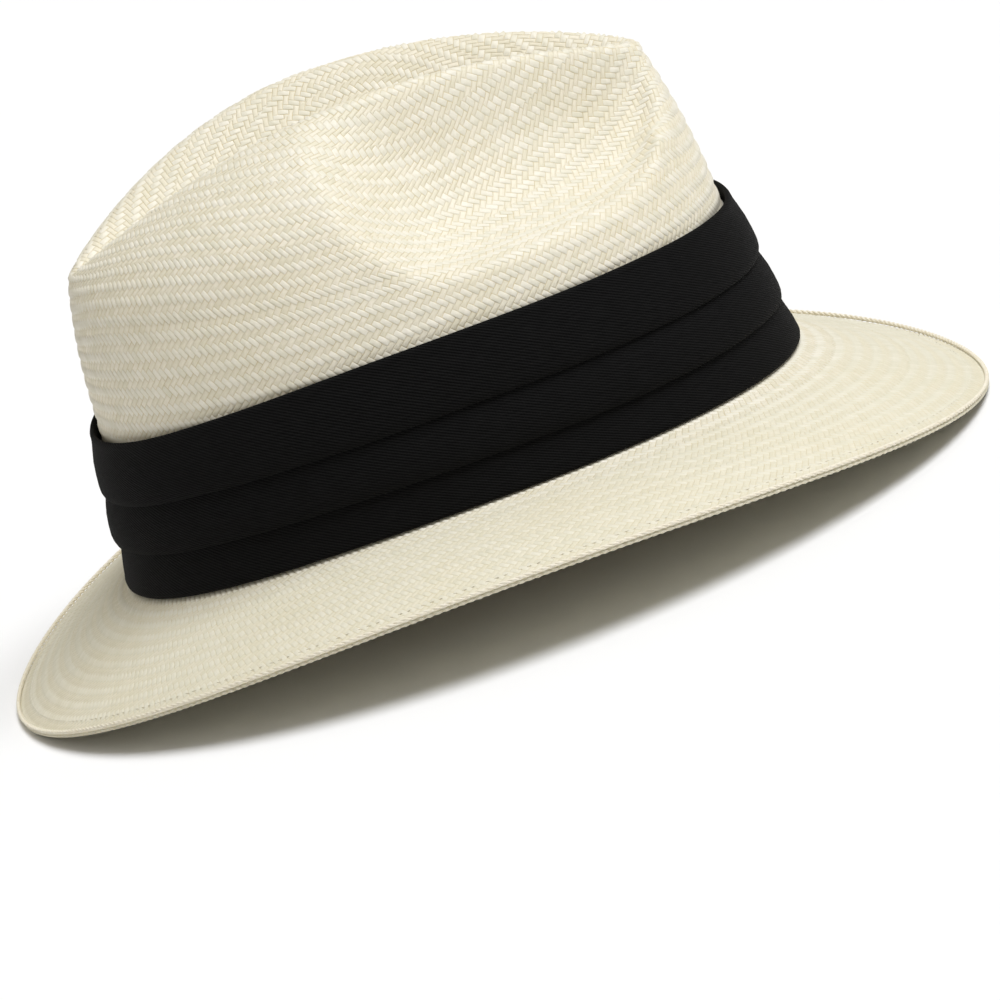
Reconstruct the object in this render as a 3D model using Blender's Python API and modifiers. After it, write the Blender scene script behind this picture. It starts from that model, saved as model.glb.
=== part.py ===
"""Straw panama hat with a centre-dent crown, a pleated cloth band and a fitted inside.

The front of the hat points along +X, the wearer's left along +Y, and +Z is up.  The hat stands
on its brim: the origin is at the middle of its footprint.  All dimensions below are in
millimetres; build_mesh() turns them into metres.
"""
import math

import bmesh
import bpy
import numpy as np

MM = 0.001

# ---- driving dimensions -------------------------------------------------------------------
STRAW_THICKNESS = 1.0
CLEARANCE = 0.3
RESTING_LIFT = 28.707
BAND_HEIGHT = 48.4
FOLD_LINES = (0.6, 12.5, 28.0, BAND_HEIGHT)
BACKING_THICKNESS = 0.5
KEEPER_THICKNESS = 0.9
KEEPER_ANGLES = (86.0, 96.5)
TACK_ANGLES = (45.0, 135.0, 225.0, 315.0)
TACK_HEIGHT = 2.2
SWEATBAND_FOOT = 4.5
SWEATBAND_HEIGHT = 32.0
SWEATBAND_THICKNESS = 1.0
TAPE_THICKNESS = 0.35
TAG_THICKNESS = 0.4
TAG_ANGLES = (200.0, 214.0)
TAG_HEIGHTS = (18.0, 30.0)
SEAM_HEIGHTS = (9.0, 11.2)
BOW_HEIGHT = 20.0
BOW_HALF_SPAN = 14.0
BOW_WALL_RADIUS = 96.0
RIBBON_THICKNESS = 0.9
KNOT_THICKNESS = 0.8
PLAIT_RADIUS = 0.5
REED_RADIUS = 0.6
THREAD_RADIUS = 0.22
STITCH_INSET = 0.22

OUTER_SKIN = STRAW_THICKNESS / 2 + CLEARANCE

# ---- the straw shell as a loft through closed rings -----------------------------------------
# Each ring: back x, front x, half width, egg factor, point exponent, then its height at the back,
# side and front above the brim break, then how far the front pinch presses it in and down, and
# half the pinch's length along X.  The egg factor widens a ring's rear and narrows its nose, and
# a point exponent above 1 sharpens its rear end.
RINGS = (
    # x_back  x_front half_w  egg  point  z_back z_side z_front  in   down  reach
    (-152.6, 152.2, 136.8, 0.00, 1.0, -28.3, -4.9, -28.2, 0.0, 0.0, 0.0),    # end of the lip
    (-151.9, 151.5, 136.1, 0.00, 1.0, -27.8, -4.4, -27.7, 0.0, 0.0, 0.0),    # lip
    (-150.4, 150.0, 134.6, 0.00, 1.0, -26.9, -3.7, -26.8, 0.0, 0.0, 0.0),    # brim edge
    (-134.0, 133.0, 118.8, 0.00, 1.0, -17.8, 1.4, -16.4, 0.0, 0.0, 0.0),     # outer brim
    (-119.0, 116.0, 102.5, 0.00, 1.0, -9.0, 5.0, -6.0, 0.0, 0.0, 0.0),       # inner brim
    (-108.8, 103.2, 90.4, 0.00, 1.0, -3.2, 7.2, 1.0, 0.0, 0.0, 0.0),         # start of the break
    (-106.0, 100.0, 87.6, 0.00, 1.0, -0.8, 8.8, 3.6, 0.0, 0.0, 0.0),         # break
    (-105.0, 99.0, 86.6, 0.00, 1.0, 3.4, 12.8, 7.6, 0.0, 0.0, 0.0),          # foot of the crown
    (-103.0, 96.0, 85.0, 0.00, 1.0, 24.4, 33.5, 28.6, 0.0, 0.0, 0.0),        # half way up the band
    (-101.2, 93.6, 83.0, 0.00, 1.0, 45.0, 56.5, 49.8, 0.0, 0.0, 0.0),        # top of the band
    (-100.4, 93.0, 81.4, 0.00, 1.0, 57.0, 65.0, 60.0, 0.0, 0.0, 0.0),        # wall
    (-100.1, 92.6, 80.5, 0.00, 1.0, 61.0, 69.2, 64.0, 0.2, 0.0, 34.0),       # below the lip
    (-99.7, 92.1, 79.2, 0.00, 1.0, 65.0, 73.0, 68.0, 1.6, 2.0, 38.0),        # lip of the pinch
    (-99.2, 91.5, 77.8, 0.00, 1.0, 69.0, 77.0, 72.5, 5.0, 5.2, 42.0),        # inside the lip
    (-98.6, 90.8, 75.4, 0.00, 1.0, 73.0, 83.0, 77.0, 10.5, 10.0, 46.0),      # upper wall
    (-97.0, 88.6, 66.5, 0.06, 1.0, 81.5, 97.5, 88.0, 16.0, 17.0, 53.0),      # lower shoulder
    (-95.4, 86.6, 52.0, 0.14, 1.1, 88.4, 110.5, 96.2, 11.5, 15.0, 55.0),     # upper shoulder
    (-93.0, 84.8, 32.5, 0.30, 1.7, 92.4, 119.2, 101.0, 0.0, 0.0, 0.0),       # rim of the dent
    (-89.4, 82.0, 28.0, 0.31, 1.7, 92.0, 117.4, 100.6, 0.0, 0.0, 0.0),       # inside the rim
    (-79.0, 74.0, 14.0, 0.24, 1.4, 90.2, 103.0, 97.0, 0.0, 0.0, 0.0),        # dent wall
    (-68.0, 66.0, 4.2, 0.10, 1.0, 88.6, 94.5, 94.4, 0.0, 0.0, 0.0),          # dent floor
    (-64.0, 62.0, 1.6, 0.00, 1.0, 88.6, 93.6, 93.8, 0.0, 0.0, 0.0),          # crease
)
# how many strips of faces each gap between rings gets, and how many steps run round a ring
SPAN_STEPS = (1, 1, 2, 2, 2, 2, 1, 2, 2, 1, 1, 1, 1, 1, 2, 3, 3, 2, 2, 2, 1)
RING_STEPS = 68
# the pinches are deepest at this x, and fade out where a ring comes this close to the centre line
PINCH_CENTRE_X = 34.0
PINCH_RIDGE = 0.44

# ring numbers used as landmarks by the pieces that follow the shell
EDGE, BREAK = 2, 6
PLAIT_RING = 0.9


def ring_points(ring, phi):
    """Points of one ring at the angles phi, measured from the front towards the wearer's left."""
    x_back, x_front, half_width, egg, point, z_back, z_side, z_front, inward, down, reach = ring
    across, along = np.sin(phi), np.cos(phi)
    x = (x_back + x_front) / 2 + (x_front - x_back) / 2 * along
    power = np.where(along < 0, point, 1.0)
    y = half_width * np.sign(across) * np.abs(across) ** power * (1 - egg * along)
    z_end = np.where(along > 0, z_front, z_back)
    z = z_side + (z_end - z_side) * along ** 2
    if reach:
        u = np.clip((x - PINCH_CENTRE_X) / reach, -1, 1)
        ridge = np.clip(np.abs(across) / PINCH_RIDGE, 0, 1)
        fade = np.where(u < 0, (1 - u ** 4) ** 2, 1 - u ** 4)
        weight = fade * ridge ** 2 * (3 - 2 * ridge)
        y = y - np.sign(across) * inward * weight
        z = z - down * weight
    return np.stack([x, y, z + RESTING_LIFT], axis=-1)


def ring_knots():
    """Loft parameter of each ring: the mean distance between rings, square-rooted and summed."""
    phi = np.linspace(0, 2 * math.pi, 48, endpoint=False)
    rings = [ring_points(ring, phi) for ring in RINGS]
    gaps = [np.linalg.norm(b - a, axis=1).mean() ** 0.5 for a, b in zip(rings, rings[1:])]
    return np.concatenate([[0.0], np.cumsum(gaps)])


KNOTS = ring_knots()


def shell_point(phi, t):
    """Point on the middle of the straw at angles phi and ring position t (whole = on a ring)."""
    phi, t = np.broadcast_arrays(np.asarray(phi, float), np.asarray(t, float))
    span = np.clip(t.astype(int), 0, len(RINGS) - 2)
    out = np.zeros(phi.shape + (3,))
    for i in np.unique(span):
        here = span == i
        local = (t[here] - i)[:, None]
        angles = phi[here]
        width = KNOTS[i + 1] - KNOTS[i]
        start, end = ring_points(RINGS[i], angles), ring_points(RINGS[i + 1], angles)
        chord = (end - start) / width
        lead, trail = chord, chord
        if i > 0:
            before = (start - ring_points(RINGS[i - 1], angles)) / (KNOTS[i] - KNOTS[i - 1])
            share = width / (KNOTS[i + 1] - KNOTS[i - 1])
            lead = before * share + chord * (1 - share)
        if i + 2 < len(RINGS):
            after = (ring_points(RINGS[i + 2], angles) - end) / (KNOTS[i + 2] - KNOTS[i + 1])
            share = width / (KNOTS[i + 2] - KNOTS[i])
            trail = after * share + chord * (1 - share)
        s2, s3 = local ** 2, local ** 3
        out[here] = (
            start * (2 * s3 - 3 * s2 + 1)
            + end * (3 * s2 - 2 * s3)
            + lead * width * (s3 - 2 * s2 + local)
            + trail * width * (s3 - s2)
        )
    return out


def shell_normal(phi, t):
    """Unit normal of the straw, towards the outside of the hat."""
    step = 1e-3
    around = shell_point(phi + step, t) - shell_point(phi - step, t)
    upward = shell_point(phi, t + step) - shell_point(phi, t - step)
    normal = np.cross(around, upward)
    return normal / np.linalg.norm(normal, axis=-1, keepdims=True)


def wall_position(height):
    """Ring position on the crown wall that lies this far above the brim break."""
    samples = np.linspace(BREAK, BREAK + 5, 201)
    points = shell_point(np.full(samples.shape, math.pi / 2), samples)
    steps = np.linalg.norm(np.diff(points, axis=0), axis=1)
    return float(np.interp(height, np.concatenate([[0.0], np.cumsum(steps)]), samples))


def offset_point(phi, t, distance):
    """Point at a distance outside (or, if negative, inside) the middle of the straw."""
    return shell_point(phi, t) + shell_normal(phi, t) * np.asarray(distance)[..., None]


# ---- mesh helpers ---------------------------------------------------------------------------
def make_material(name, colour, roughness):
    material = bpy.data.materials.new(name)
    material.use_nodes = True
    shader = material.node_tree.nodes["Principled BSDF"]
    shader.inputs["Base Color"].default_value = (*colour, 1.0)
    shader.inputs["Roughness"].default_value = roughness
    material.diffuse_color = (*colour, 1.0)
    return material


def build_mesh(name, vertices, faces, material):
    """Mesh object in metres from vertices in millimetres, with its faces turned outwards."""
    mesh = bpy.data.meshes.new(name)
    mesh.from_pydata([tuple(v * MM) for v in vertices], [], faces)
    editable = bmesh.new()
    editable.from_mesh(mesh)
    bmesh.ops.recalc_face_normals(editable, faces=editable.faces)
    editable.to_mesh(mesh)
    editable.free()
    mesh.polygons.foreach_set("use_smooth", [True] * len(mesh.polygons))
    mesh.materials.append(material)
    obj = bpy.data.objects.new(name, mesh)
    HAT.objects.link(obj)
    return obj


def tube_faces(rows, columns, close_rows, close_columns):
    """Quads over a grid of rows x columns vertices, joined up in either direction if asked."""
    faces = []
    for r in range(rows if close_rows else rows - 1):
        for c in range(columns if close_columns else columns - 1):
            r2, c2 = (r + 1) % rows, (c + 1) % columns
            faces.append((r * columns + c, r * columns + c2, r2 * columns + c2, r2 * columns + c))
    return faces


def swept_section(name, sections, material, closed):
    """Solid swept through sections, an array of shape (stations, corners, 3)."""
    stations, corners = sections.shape[:2]
    faces = tube_faces(stations, corners, closed, True)
    if not closed:
        faces.append(tuple(range(corners)))
        faces.append(tuple((stations - 1) * corners + c for c in range(corners)))
    return build_mesh(name, sections.reshape(-1, 3), faces, material)


def tube_along(name, path, radius, material, closed, sides=8):
    """Round thread or cord along a path of points."""
    ahead = np.roll(path, -1, axis=0) - np.roll(path, 1, axis=0)
    if not closed:
        ahead[0], ahead[-1] = path[1] - path[0], path[-1] - path[-2]
    ahead /= np.linalg.norm(ahead, axis=1, keepdims=True)
    side = np.cross(ahead, [0.0, 0.0, 1.0])
    side /= np.linalg.norm(side, axis=1, keepdims=True)
    up = np.cross(side, ahead)
    turn = np.linspace(0, 2 * math.pi, sides, endpoint=False)
    rim = np.cos(turn)[None, :, None] * side[:, None] + np.sin(turn)[None, :, None] * up[:, None]
    return swept_section(name, path[:, None] + radius * rim, material, closed)


def wall_point(phi, height, distance):
    """Point beside the crown wall: this far above the break, then level outwards from the straw."""
    t = np.full(phi.shape, wall_position(height))
    level = shell_normal(phi, t) * [1.0, 1.0, 0.0]
    level /= np.linalg.norm(level, axis=-1, keepdims=True)
    return shell_point(phi, t) + level * distance


def section_on_wall(phi, outline):
    """Corners of a section at each angle phi; outline holds (height, distance) pairs."""
    return np.stack([wall_point(phi, height, distance) for height, distance in outline], axis=1)


def full_circle(steps):
    return np.linspace(0, 2 * math.pi, steps, endpoint=False)


# ---- the pieces -----------------------------------------------------------------------------
def crease_faces(start):
    """Closes the last ring across the crease, rung by rung from the front to the back."""
    faces = []
    for k in range(RING_STEPS // 2):
        rung = [start + corner % RING_STEPS for corner in (k, k + 1, -k - 1, -k)]
        faces.append(tuple(dict.fromkeys(rung)))
    return faces


def build_straw_body():
    """Crown and brim, woven in one piece: a lofted sheet with the straw's thickness."""
    phi = full_circle(RING_STEPS)
    positions = [i + k / n for i, n in enumerate(SPAN_STEPS) for k in range(n)]
    positions.append(len(RINGS) - 1.0)
    rows = [shell_point(phi, np.full(phi.shape, t)) for t in positions]
    faces = tube_faces(len(rows), RING_STEPS, False, True)
    faces += crease_faces((len(rows) - 1) * RING_STEPS)
    body = build_mesh("straw_body", np.concatenate(rows), faces, STRAW)
    solid = body.modifiers.new("straw thickness", "SOLIDIFY")
    solid.thickness = STRAW_THICKNESS * MM
    solid.offset = 0.0


def build_brim_trim():
    """The plaited edge round the brim, and the row of stitching just in from it."""
    phi = full_circle(102)
    reach = OUTER_SKIN + PLAIT_RADIUS
    path = offset_point(phi, np.full(phi.shape, PLAIT_RING), np.full(phi.shape, reach))
    tube_along("brim_edge_plait", path, PLAIT_RADIUS, PLAIT, True, sides=8)
    height = OUTER_SKIN + THREAD_RADIUS
    path = offset_point(phi, np.full(phi.shape, EDGE + STITCH_INSET), np.full(phi.shape, height))
    tube_along("hem_stitch_thread", path, THREAD_RADIUS, THREAD, True, sides=5)


def pleat_profile():
    """Height and thickness of the band from its foot up: puffs that overlap like shingles."""
    folds = []
    for fold, (low, high) in enumerate(zip(FOLD_LINES, FOLD_LINES[1:])):
        for share, swell in ((0.02, 1.5), (0.12, 2.5), (0.35, 2.9), (0.65, 2.5), (0.95, 1.7)):
            folds.append((low + (high - low) * share, swell + 0.35 * fold))
    folds[-1] = (BAND_HEIGHT - 0.4, 1.9)
    return folds


def build_band():
    """One strip of cloth laid in three folds over a stiff backing, with its keeper and tacks."""
    phi = full_circle(RING_STEPS)
    levels = [5.0, 15.0, 25.0, 35.0, BAND_HEIGHT - 5.0]
    outline = [(h, OUTER_SKIN) for h in reversed(levels)]
    outline += [(h, OUTER_SKIN + BACKING_THICKNESS) for h in levels]
    swept_section("band_backing", section_on_wall(phi, outline), BACKING, True)

    inner = OUTER_SKIN + BACKING_THICKNESS + CLEARANCE
    profile = pleat_profile()
    outline = [(h, inner) for h in reversed([3.4, *levels, BAND_HEIGHT])]
    outline += [(h, inner + thick) for h, thick in profile]
    swept_section("pleated_band", section_on_wall(phi, outline), CLOTH, True)

    build_keeper(inner + max(thick for _, thick in profile) + CLEARANCE)
    for number, degrees in enumerate(TACK_ANGLES, start=1):
        spread = np.radians(degrees + np.linspace(-1.0, 1.0, 7))
        path = wall_point(spread, TACK_HEIGHT, OUTER_SKIN + 2 * THREAD_RADIUS)
        tube_along(f"band_tack_{number}", path, THREAD_RADIUS, DARK_THREAD, False, sides=6)


def build_keeper(face):
    """Cloth loop that covers the band's join and hooks over its top edge."""
    turn = np.radians(np.linspace(*KEEPER_ANGLES, 9))
    brow = BAND_HEIGHT + 0.75
    behind = OUTER_SKIN + 0.2
    heights = [1.5, 9.0, 17.0, 25.0, 33.0, 41.0, brow]
    outline = [(brow, behind)]
    outline += [(h, face) for h in reversed(heights)]
    outline += [(h, face + KEEPER_THICKNESS) for h in heights]
    outline.append((brow + KEEPER_THICKNESS, face + 0.3))
    outline.append((brow + KEEPER_THICKNESS, behind))
    swept_section("band_keeper", section_on_wall(turn, outline), CLOTH, False)


def build_lining():
    """The sweatband and what sews it in: reed, tape, thread, rear bow and a blank tag."""
    skin = -OUTER_SKIN
    leather_back = skin - TAPE_THICKNESS - CLEARANCE
    leather_front = leather_back - SWEATBAND_THICKNESS
    inner_face = leather_front - CLEARANCE

    join = math.radians(0.25)
    phi = np.linspace(math.pi + join, 3 * math.pi - join, RING_STEPS + 1)
    levels = [SWEATBAND_FOOT, 12.0, 20.0, 28.0, SWEATBAND_FOOT + SWEATBAND_HEIGHT]
    outline = [(h, leather_back) for h in levels]
    outline += [(h, leather_front) for h in reversed(levels)]
    swept_section("sweatband", section_on_wall(phi, outline), LEATHER, False)

    ring = full_circle(RING_STEPS)
    middle = (leather_back + leather_front) / 2
    path = wall_point(ring, SWEATBAND_FOOT - CLEARANCE - REED_RADIUS, middle)
    tube_along("sweatband_reed", path, REED_RADIUS, REED, True, sides=6)
    build_reed_tape(ring, skin, inner_face)

    zigzag = full_circle(2 * RING_STEPS)
    low, high = (wall_point(zigzag, h, inner_face - THREAD_RADIUS) for h in SEAM_HEIGHTS)
    path = np.where((np.arange(len(zigzag)) % 2 == 0)[:, None], low, high)
    tube_along("sweatband_seam_thread", path, THREAD_RADIUS, THREAD, True, sides=5)

    build_bow(inner_face)
    spread = np.radians(np.linspace(*TAG_ANGLES, 7))
    bottom, top = TAG_HEIGHTS
    outline = [(bottom, inner_face), (top, inner_face)]
    outline += [(top, inner_face - TAG_THICKNESS), (bottom, inner_face - TAG_THICKNESS)]
    swept_section("size_tag", section_on_wall(spread, outline), PAPER, False)


def build_reed_tape(ring, skin, inner_face):
    """Tape folded under the reed and up both sides of the sweatband's foot."""
    bottom = SWEATBAND_FOOT - 2 * CLEARANCE - 2 * REED_RADIUS
    back_top, front_top, corner = 9.5, 8.0, 0.2
    outline = [
        (back_top, skin),
        (bottom, skin),
        (bottom - TAPE_THICKNESS, skin - corner),
        (bottom - TAPE_THICKNESS, inner_face - TAPE_THICKNESS + corner),
        (bottom, inner_face - TAPE_THICKNESS),
        (front_top, inner_face - TAPE_THICKNESS),
        (front_top, inner_face),
        (bottom, inner_face),
        (bottom, skin - TAPE_THICKNESS),
        (back_top, skin - TAPE_THICKNESS),
    ]
    swept_section("reed_tape", section_on_wall(ring, outline), TAPE, True)


def build_bow(face):
    """Small flat ribbon bow over the join at the back of the sweatband."""
    sections = []
    for share in np.linspace(-1, 1, 25):
        angle = math.pi + share * BOW_HALF_SPAN / BOW_WALL_RADIUS
        swell = math.sin(math.pi * min(abs(share), 0.97))
        width = 1.6 + 3.2 * swell ** 0.8
        puff = RIBBON_THICKNESS + 1.3 * swell
        centre = BOW_HEIGHT + 0.8 * abs(share)
        outline = [(centre - width, face), (centre + width, face)]
        outline += [(centre + width * 0.8, face - puff), (centre - width * 0.8, face - puff)]
        sections.append(section_on_wall(np.array([angle]), outline)[0])
    swept_section("bow_loops", np.array(sections), RIBBON, False)

    knot = math.pi + np.linspace(-2.2, 2.2, 5) / BOW_WALL_RADIUS
    inner = face - RIBBON_THICKNESS - 1.1 - CLEARANCE
    inside = [(4.0, face), (4.0, inner + 0.8), (2.8, inner)]
    outside = [(3.3, inner - KNOT_THICKNESS), (4.9, inner + 0.5), (4.9, face)]
    outline = [(BOW_HEIGHT - rise, distance) for rise, distance in inside]
    outline += [(BOW_HEIGHT + rise, distance) for rise, distance in reversed(inside)]
    outline += [(BOW_HEIGHT + rise, distance) for rise, distance in reversed(outside)]
    outline += [(BOW_HEIGHT - rise, distance) for rise, distance in outside]
    swept_section("bow_knot", section_on_wall(knot, outline), RIBBON, False)


# ---- build ----------------------------------------------------------------------------------
for leftover in list(bpy.data.objects):
    bpy.data.objects.remove(leftover, do_unlink=True)

HAT = bpy.data.collections.new("panama_hat")
bpy.context.scene.collection.children.link(HAT)

STRAW = make_material("straw", (0.86, 0.80, 0.64), 0.55)
PLAIT = make_material("plaited straw", (0.74, 0.66, 0.48), 0.6)
THREAD = make_material("pale thread", (0.82, 0.77, 0.62), 0.6)
DARK_THREAD = make_material("black thread", (0.02, 0.02, 0.022), 0.6)
CLOTH = make_material("black twill", (0.012, 0.012, 0.014), 0.8)
BACKING = make_material("buckram", (0.05, 0.05, 0.05), 0.9)
LEATHER = make_material("leather", (0.62, 0.50, 0.36), 0.5)
REED = make_material("reed", (0.8, 0.78, 0.7), 0.4)
TAPE = make_material("tape", (0.75, 0.72, 0.62), 0.8)
RIBBON = make_material("ribbon", (0.03, 0.03, 0.03), 0.5)
PAPER = make_material("blank tag", (0.86, 0.85, 0.8), 0.8)

build_straw_body()
build_brim_trim()
build_band()
build_lining()
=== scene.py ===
"""Looks of the straw panama hat: woven straw, pleated cloth band, inside fittings, soft light.

Works in millimetres while it builds and in metres once a mesh exists.  The loft of the straw
repeats the one the solids were made from.  It is smooth here and faceted there, so between the
solids' vertices the two part: by up to 2 mm at the pinches, and far less elsewhere.
"""
import math

import bmesh
import bpy
import numpy as np
from mathutils import Matrix, Vector


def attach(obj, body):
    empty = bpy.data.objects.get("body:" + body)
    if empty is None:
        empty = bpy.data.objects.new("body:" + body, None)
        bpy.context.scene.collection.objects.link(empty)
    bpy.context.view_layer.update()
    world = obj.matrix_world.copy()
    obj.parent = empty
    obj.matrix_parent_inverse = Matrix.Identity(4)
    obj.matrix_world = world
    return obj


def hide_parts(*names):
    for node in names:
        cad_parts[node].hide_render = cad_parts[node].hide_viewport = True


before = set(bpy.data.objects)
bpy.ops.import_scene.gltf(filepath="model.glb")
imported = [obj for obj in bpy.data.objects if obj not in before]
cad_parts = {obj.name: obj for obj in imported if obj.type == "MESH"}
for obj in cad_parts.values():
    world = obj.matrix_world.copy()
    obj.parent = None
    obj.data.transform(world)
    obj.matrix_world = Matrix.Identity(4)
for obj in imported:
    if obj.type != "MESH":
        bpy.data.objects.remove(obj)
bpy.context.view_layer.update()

MM = 0.001

# ---- dimensions shared with the solids --------------------------------------------------------
STRAW_THICKNESS = 1.0
CLEARANCE = 0.3
RESTING_LIFT = 28.707
BAND_HEIGHT = 48.4
SWEATBAND_HEIGHT = 32.0
SWEATBAND_THICKNESS = 1.0
PINCH_CENTRE_X = 34.0
PINCH_RIDGE = 0.44
EDGE, BREAK = 2, 6        # rings of the brim's edge and of the break into the crown

# Each ring of the loft: back x, front x, half width, egg factor, point exponent, height at the
# back, side and front, how far the pinch presses it in and down, and half the pinch's length.
RINGS = (
    (-152.6, 152.2, 136.8, 0.00, 1.0, -28.3, -4.9, -28.2, 0.0, 0.0, 0.0),    # end of the lip
    (-151.9, 151.5, 136.1, 0.00, 1.0, -27.8, -4.4, -27.7, 0.0, 0.0, 0.0),    # lip
    (-150.4, 150.0, 134.6, 0.00, 1.0, -26.9, -3.7, -26.8, 0.0, 0.0, 0.0),    # brim edge
    (-134.0, 133.0, 118.8, 0.00, 1.0, -17.8, 1.4, -16.4, 0.0, 0.0, 0.0),     # outer brim
    (-119.0, 116.0, 102.5, 0.00, 1.0, -9.0, 5.0, -6.0, 0.0, 0.0, 0.0),       # inner brim
    (-108.8, 103.2, 90.4, 0.00, 1.0, -3.2, 7.2, 1.0, 0.0, 0.0, 0.0),         # start of the break
    (-106.0, 100.0, 87.6, 0.00, 1.0, -0.8, 8.8, 3.6, 0.0, 0.0, 0.0),         # break
    (-105.0, 99.0, 86.6, 0.00, 1.0, 3.4, 12.8, 7.6, 0.0, 0.0, 0.0),          # foot of the crown
    (-103.0, 96.0, 85.0, 0.00, 1.0, 24.4, 33.5, 28.6, 0.0, 0.0, 0.0),        # half way up the band
    (-101.2, 93.6, 83.0, 0.00, 1.0, 45.0, 56.5, 49.8, 0.0, 0.0, 0.0),        # top of the band
    (-100.4, 93.0, 81.4, 0.00, 1.0, 57.0, 65.0, 60.0, 0.0, 0.0, 0.0),        # wall
    (-100.1, 92.6, 80.5, 0.00, 1.0, 61.0, 69.2, 64.0, 0.2, 0.0, 34.0),       # below the lip
    (-99.7, 92.1, 79.2, 0.00, 1.0, 65.0, 73.0, 68.0, 1.6, 2.0, 38.0),        # lip of the pinch
    (-99.2, 91.5, 77.8, 0.00, 1.0, 69.0, 77.0, 72.5, 5.0, 5.2, 42.0),        # inside the lip
    (-98.6, 90.8, 75.4, 0.00, 1.0, 73.0, 83.0, 77.0, 10.5, 10.0, 46.0),      # upper wall
    (-97.0, 88.6, 66.5, 0.06, 1.0, 81.5, 97.5, 88.0, 16.0, 17.0, 53.0),      # lower shoulder
    (-95.4, 86.6, 52.0, 0.14, 1.1, 88.4, 110.5, 96.2, 11.5, 15.0, 55.0),     # upper shoulder
    (-93.0, 84.8, 32.5, 0.30, 1.7, 92.4, 119.2, 101.0, 0.0, 0.0, 0.0),       # rim of the dent
    (-89.4, 82.0, 28.0, 0.31, 1.7, 92.0, 117.4, 100.6, 0.0, 0.0, 0.0),       # inside the rim
    (-79.0, 74.0, 14.0, 0.24, 1.4, 90.2, 103.0, 97.0, 0.0, 0.0, 0.0),        # dent wall
    (-68.0, 66.0, 4.2, 0.10, 1.0, 88.6, 94.5, 94.4, 0.0, 0.0, 0.0),          # dent floor
    (-64.0, 62.0, 1.6, 0.00, 1.0, 88.6, 93.6, 93.8, 0.0, 0.0, 0.0),          # crease
)

# ---- the weave --------------------------------------------------------------------------------
STRAND_STEP = 2.5         # from one straw to the next along a row, and from row to row
WEAVE_RELIEF = 0.19       # how far a straw's crest stands above the middle of the weave
COUNT_DRIFT = 0.14        # how far the spacing drifts before a row takes on or drops straws
LAST_ROW = 16.0           # length of the innermost row, at the middle of the crown
CROWN_FOOT = 7            # ring up to which the rows follow the brim
BAND_TOP = 9              # ring from which the rows run level round the crown
TIP_BLEND = 50.0          # climb over which the rows turn into circles round the crown's tip
TIP_SHARE = 0.75          # how fully they do
# Of four half rows, the first two carry the raised straws: they are taller and stand higher.
ROW_SWING = (-0.10, 0.10, 0.10, -0.10)
ROW_CREST = (1.7, 1.7, 0.1, 0.1)
SEAM_ANGLE = math.pi / 2  # the rows start behind the keeper of the band
BRIM_START = (0.106, 0.0905)   # half length and half width, in metres, of where the brim begins
BRIM_CONTRAST = 0.65      # how strongly the weave shows on the pressed brim
BRIM_TONE = 0.92          # how bright it is there
BRIM_RELIEF = 0.7         # how high it stands there
EDGE_SPREAD = (1.002, 1.002, 1.0)  # how the brim's rounded edge stands out past its first row


def ring_points(ring, phi):
    """Points of one ring at the angles phi, measured from the front towards the wearer's left."""
    x_back, x_front, half_width, egg, point, z_back, z_side, z_front, inward, down, reach = ring
    across, along = np.sin(phi), np.cos(phi)
    x = (x_back + x_front) / 2 + (x_front - x_back) / 2 * along
    power = np.where(along < 0, point, 1.0)
    y = half_width * np.sign(across) * np.abs(across) ** power * (1 - egg * along)
    z_end = np.where(along > 0, z_front, z_back)
    z = z_side + (z_end - z_side) * along ** 2
    if reach:
        u = np.clip((x - PINCH_CENTRE_X) / reach, -1, 1)
        ridge = np.clip(np.abs(across) / PINCH_RIDGE, 0, 1)
        fade = np.where(u < 0, (1 - u ** 4) ** 2, 1 - u ** 4)
        weight = fade * ridge ** 2 * (3 - 2 * ridge)
        y = y - np.sign(across) * inward * weight
        z = z - down * weight
    return np.stack([x, y, z + RESTING_LIFT], axis=-1)


def ring_knots():
    """Loft parameter of each ring: the mean distance between rings, square-rooted and summed."""
    phi = np.linspace(0, 2 * math.pi, 48, endpoint=False)
    rings = [ring_points(ring, phi) for ring in RINGS]
    gaps = [np.linalg.norm(b - a, axis=1).mean() ** 0.5 for a, b in zip(rings, rings[1:])]
    return np.concatenate([[0.0], np.cumsum(gaps)])


KNOTS = ring_knots()


def shell_point(phi, t):
    """Point on the middle of the straw at angles phi and ring position t (whole = on a ring)."""
    phi, t = np.broadcast_arrays(np.asarray(phi, float), np.asarray(t, float))
    span = np.clip(t.astype(int), 0, len(RINGS) - 2)
    out = np.zeros(phi.shape + (3,))
    for i in np.unique(span):
        here = span == i
        local = (t[here] - i)[:, None]
        angles = phi[here]
        width = KNOTS[i + 1] - KNOTS[i]
        start, end = ring_points(RINGS[i], angles), ring_points(RINGS[i + 1], angles)
        chord = (end - start) / width
        lead, trail = chord, chord
        if i > 0:
            before = (start - ring_points(RINGS[i - 1], angles)) / (KNOTS[i] - KNOTS[i - 1])
            share = width / (KNOTS[i + 1] - KNOTS[i - 1])
            lead = before * share + chord * (1 - share)
        if i + 2 < len(RINGS):
            after = (ring_points(RINGS[i + 2], angles) - end) / (KNOTS[i + 2] - KNOTS[i + 1])
            share = width / (KNOTS[i + 2] - KNOTS[i])
            trail = after * share + chord * (1 - share)
        s2, s3 = local ** 2, local ** 3
        out[here] = (
            start * (2 * s3 - 3 * s2 + 1)
            + end * (3 * s2 - 2 * s3)
            + lead * width * (s3 - 2 * s2 + local)
            + trail * width * (s3 - s2)
        )
    return out


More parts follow.
